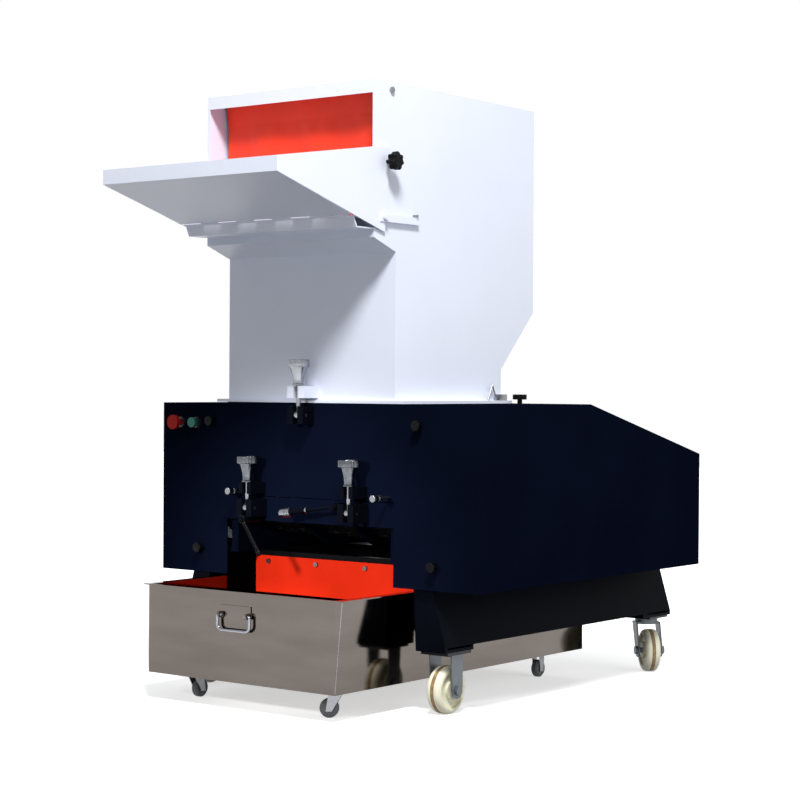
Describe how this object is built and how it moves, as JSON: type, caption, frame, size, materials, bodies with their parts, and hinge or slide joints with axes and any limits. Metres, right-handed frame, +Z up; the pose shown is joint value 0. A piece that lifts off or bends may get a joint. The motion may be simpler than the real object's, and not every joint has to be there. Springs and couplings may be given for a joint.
{
  "type": "plastic granulator",
  "caption": "Beside-the-press plastic granulator with white feed hopper, folding feed tray, dark drive covers, clamps, wheeled frame and pull-out granulate bin",
  "frame": {"origin": "centre of the bounding box in X and Y, at the floor", "axes": "X to the right seen from the front, Y to the rear, Z up"},
  "size_m": [1.104, 1.6338, 1.642],
  "materials": {
    "steel": "machined steel",
    "black_frame": "black paint",
    "navy_sheet": "very dark navy powder coat",
    "white_sheet": "smooth white powder coat",
    "motor_paint": "machine paint",
    "black_plastic": "moulded black plastic",
    "belt_rubber": "black rubber",
    "red_sheet": "orange-red powder coat",
    "red_curtain": "orange-red rubber sheet",
    "red_button": "gloss red plastic",
    "green_button": "gloss green plastic",
    "cream_nylon": "cast nylon",
    "grey_rubber": "dark grey rubber tread",
    "mirror_sheet": "polished stainless sheet",
    "cast": "dark cast iron",
    "bright_knob": "bright knurled aluminium"
  },
  "bodies": {
    "machine": {"side_frames": "black_frame", "cross_members": "black_frame", "chamber_sides": "navy_sheet", "chamber_front": "navy_sheet", "chamber_rear": "navy_sheet", "screen_cradle": "navy_sheet", "screen": "steel", "bed_knives": "steel", "bearing_housings": "cast", "discharge_chute": "red_sheet", "flywheel_cover": "navy_sheet", "belt_cover": "navy_sheet", "cover_knobs": "black_plastic", "hopper": "white_sheet", "feed_ledge": "white_sheet", "tray_hinge_pin": "steel", "curtain_rod": "steel", "motor_body": "motor_paint", "motor_fan_cover": "motor_paint", "drive_belts": "belt_rubber", "button_bezels": "steel", "clamp_brackets": "black_frame", "fasteners": "steel", "caster_mounts": "steel", "hopper_hinge": "black_frame"},
    "rotor": {"rotor_shaft": "steel", "rotor_discs": "cast", "rotor_knives": "steel", "flywheel": "cast", "rotor_pulley": "cast"},
    "motor_rotor": {"motor_pulley": "cast"},
    "tray": {"feed_tray": "white_sheet"},
    "tray_knob_r": {"tray_knob_right": "black_plastic"},
    "tray_knob_l": {"tray_knob_left": "black_plastic"},
    "curtain": {"feed_curtain": "red_curtain"},
    "stop": {"stop_button": "red_button"},
    "start": {"start_button": "green_button"},
    "top_bolt": {"hopper_swing_bolt": "steel"},
    "left_bolt": {"left_swing_bolt": "steel"},
    "right_bolt": {"right_swing_bolt": "steel"},
    "top_knob": {"hopper_clamp_knob": "bright_knob"},
    "left_knob": {"left_clamp_knob": "bright_knob"},
    "right_knob": {"right_clamp_knob": "bright_knob"},
    "long_lever_arm": {"long_lever": "black_frame"},
    "short_lever_arm": {"short_lever": "black_frame"},
    "bin_body": {"bin": "mirror_sheet", "bin_caster_mounts": "steel"},
    "bail": {"bin_handle": "steel"},
    "bin_fork_r": {"bin_swivel_right": "steel"},
    "bin_fork_l": {"bin_swivel_left": "steel"},
    "bin_wheel_fr": {"bin_wheel_front_right": "grey_rubber"},
    "bin_wheel_fl": {"bin_wheel_front_left": "grey_rubber"},
    "bin_wheel_rr": {"bin_wheel_rear_right": "grey_rubber"},
    "bin_wheel_rl": {"bin_wheel_rear_left": "grey_rubber"},
    "wheel_fr": {"front_wheel_right": "cream_nylon"},
    "wheel_fl": {"front_wheel_left": "cream_nylon"},
    "fork_r": {"rear_fork_right": "steel"},
    "fork_l": {"rear_fork_left": "steel"},
    "wheel_rr": {"rear_wheel_right": "cream_nylon"},
    "wheel_rl": {"rear_wheel_left": "cream_nylon"}
  },
  "joints": [
    {"name": "rotor_spin", "type": "hinge", "parent": "machine", "child": "rotor", "pos_m": [0, -0.10615, 0.59], "axis": [1, 0, 0], "continuous": true},
    {"name": "motor_spin", "type": "hinge", "parent": "machine", "child": "motor_rotor", "pos_m": [0.3, 0.57885, 0.556], "axis": [1, 0, 0], "continuous": true},
    {"name": "tray_fold", "type": "hinge", "parent": "machine", "child": "tray", "pos_m": [-0.02, -0.52315, 1.285], "axis": [-1, 0, 0], "range_deg": [0, 80]},
    {"name": "tray_knob_right_turn", "type": "hinge", "parent": "tray", "child": "tray_knob_r", "pos_m": [0.3, -0.38415, 1.433], "axis": [1, 0, 0], "continuous": true},
    {"name": "tray_knob_left_turn", "type": "hinge", "parent": "tray", "child": "tray_knob_l", "pos_m": [-0.34, -0.38415, 1.433], "axis": [-1, 0, 0], "continuous": true},
    {"name": "curtain_swing", "type": "hinge", "parent": "machine", "child": "curtain", "pos_m": [-0.02, -0.35915, 1.622], "axis": [1, 0, 0], "range_deg": [0, 60]},
    {"name": "stop_press", "type": "slide", "parent": "machine", "child": "stop", "axis": [0, 1, 0], "range_m": [0, 0.005], "stiffness_N_per_m": 800, "springref_m": -0.002},
    {"name": "start_press", "type": "slide", "parent": "machine", "child": "start", "axis": [0, 1, 0], "range_m": [0, 0.005], "stiffness_N_per_m": 800, "springref_m": -0.002},
    {"name": "top_clamp_swing", "type": "hinge", "parent": "machine", "child": "top_bolt", "pos_m": [-0.018, -0.38315, 0.772], "axis": [1, 0, 0], "range_deg": [0, 90]},
    {"name": "top_knob_turn", "type": "hinge", "parent": "top_bolt", "child": "top_knob", "pos_m": [-0.018, -0.38315, 0.86], "axis": [0, 0, 1], "continuous": true},
    {"name": "left_clamp_swing", "type": "hinge", "parent": "machine", "child": "left_bolt", "pos_m": [-0.184, -0.40115, 0.517], "axis": [1, 0, 0], "range_deg": [0, 90]},
    {"name": "left_knob_turn", "type": "hinge", "parent": "left_bolt", "child": "left_knob", "pos_m": [-0.184, -0.40115, 0.6], "axis": [0, 0, 1], "continuous": true},
    {"name": "right_clamp_swing", "type": "hinge", "parent": "machine", "child": "right_bolt", "pos_m": [0.172, -0.40115, 0.517], "axis": [1, 0, 0], "range_deg": [0, 90]},
    {"name": "right_knob_turn", "type": "hinge", "parent": "right_bolt", "child": "right_knob", "pos_m": [0.172, -0.40115, 0.6], "axis": [0, 0, 1], "continuous": true},
    {"name": "long_lever_swing", "type": "hinge", "parent": "machine", "child": "long_lever_arm", "pos_m": [0.128, -0.41115, 0.532], "axis": [0, -1, 0], "range_deg": [0, 75]},
    {"name": "short_lever_swing", "type": "hinge", "parent": "machine", "child": "short_lever_arm", "pos_m": [-0.181, -0.42515, 0.487], "axis": [0, -1, 0], "range_deg": [0, 55]},
    {"name": "bin_slide", "type": "slide", "parent": "machine", "child": "bin_body", "axis": [0, -1, 0], "range_m": [0, 1.15]},
    {"name": "bin_handle_lift", "type": "hinge", "parent": "bin_body", "child": "bail", "pos_m": [-0.04, -0.61315, 0.252], "axis": [-1, 0, 0], "range_deg": [0, 80]},
    {"name": "bin_swivel_right_turn", "type": "hinge", "parent": "bin_body", "child": "bin_fork_r", "pos_m": [0.224, -0.50115, 0.06], "axis": [0, 0, 1], "continuous": true},
    {"name": "bin_swivel_left_turn", "type": "hinge", "parent": "bin_body", "child": "bin_fork_l", "pos_m": [-0.286, -0.50115, 0.06], "axis": [0, 0, 1], "continuous": true},
    {"name": "bin_wheel_fr_roll", "type": "hinge", "parent": "bin_fork_r", "child": "bin_wheel_fr", "pos_m": [0.20322, -0.51315, 0.025], "axis": [0.5, -0.866, 0], "continuous": true},
    {"name": "bin_wheel_fl_roll", "type": "hinge", "parent": "bin_fork_l", "child": "bin_wheel_fl", "pos_m": [-0.286, -0.47715, 0.025], "axis": [-1, 0, 0], "continuous": true},
    {"name": "bin_wheel_rr_roll", "type": "hinge", "parent": "bin_body", "child": "bin_wheel_rr", "pos_m": [0.224, 0.42285, 0.025], "axis": [-1, 0, 0], "continuous": true},
    {"name": "bin_wheel_rl_roll", "type": "hinge", "parent": "bin_body", "child": "bin_wheel_rl", "pos_m": [-0.286, 0.42285, 0.025], "axis": [-1, 0, 0], "continuous": true},
    {"name": "front_wheel_right_roll", "type": "hinge", "parent": "machine", "child": "wheel_fr", "pos_m": [0.398, -0.27315, 0.0625], "axis": [-1, 0, 0], "continuous": true},
    {"name": "front_wheel_left_roll", "type": "hinge", "parent": "machine", "child": "wheel_fl", "pos_m": [-0.446, -0.27315, 0.0625], "axis": [-1, 0, 0], "continuous": true},
    {"name": "rear_swivel_right", "type": "hinge", "parent": "machine", "child": "fork_r", "pos_m": [0.389, 0.76385, 0.145], "axis": [0, 0, 1], "continuous": true},
    {"name": "rear_swivel_left", "type": "hinge", "parent": "machine", "child": "fork_l", "pos_m": [-0.437, 0.76385, 0.145], "axis": [0, 0, 1], "continuous": true},
    {"name": "rear_wheel_right_roll", "type": "hinge", "parent": "fork_r", "child": "wheel_rr", "pos_m": [0.41446, 0.73839, 0.0625], "axis": [0.7071, 0.7071, 0], "continuous": true},
    {"name": "rear_wheel_left_roll", "type": "hinge", "parent": "fork_l", "child": "wheel_rl", "pos_m": [-0.42469, 0.73002, 0.0625], "axis": [0.9397, 0.342, 0], "continuous": true}
  ],
  "couplings": [
    {"joint": "motor_spin", "follows": "rotor_spin", "ratio": 2.4}
  ]
}
